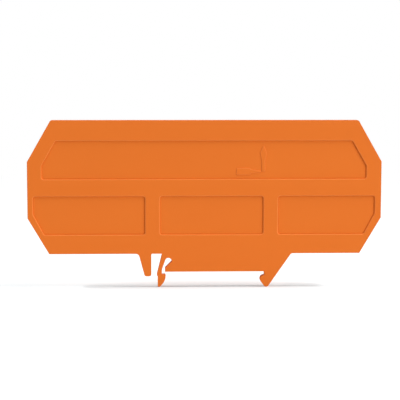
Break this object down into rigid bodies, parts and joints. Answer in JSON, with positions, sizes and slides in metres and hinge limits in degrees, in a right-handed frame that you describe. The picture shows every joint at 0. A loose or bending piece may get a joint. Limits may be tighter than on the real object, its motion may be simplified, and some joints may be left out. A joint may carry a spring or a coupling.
{
  "type": "terminal block partition plate",
  "caption": "Thin moulded plate with sloped corners and shallow recessed panels, on a foot with a fixed hook and a spring latch that clips onto a top-hat rail.",
  "frame": {"origin": "middle of the rail seat between the two edges of the rail, halfway through the plate's thickness", "axes": "+X along the plate from the spring latch to the fixed hook, +Y through the thickness from the recessed front face to the plain back, +Z away from the rail"},
  "size_m": [0.12, 0.003, 0.0569],
  "materials": {
    "moulded_polyamide": "matte moulded polyamide, orange right through"
  },
  "bodies": {
    "root": {"partition_plate": "moulded_polyamide"}
  },
  "joints": []
}
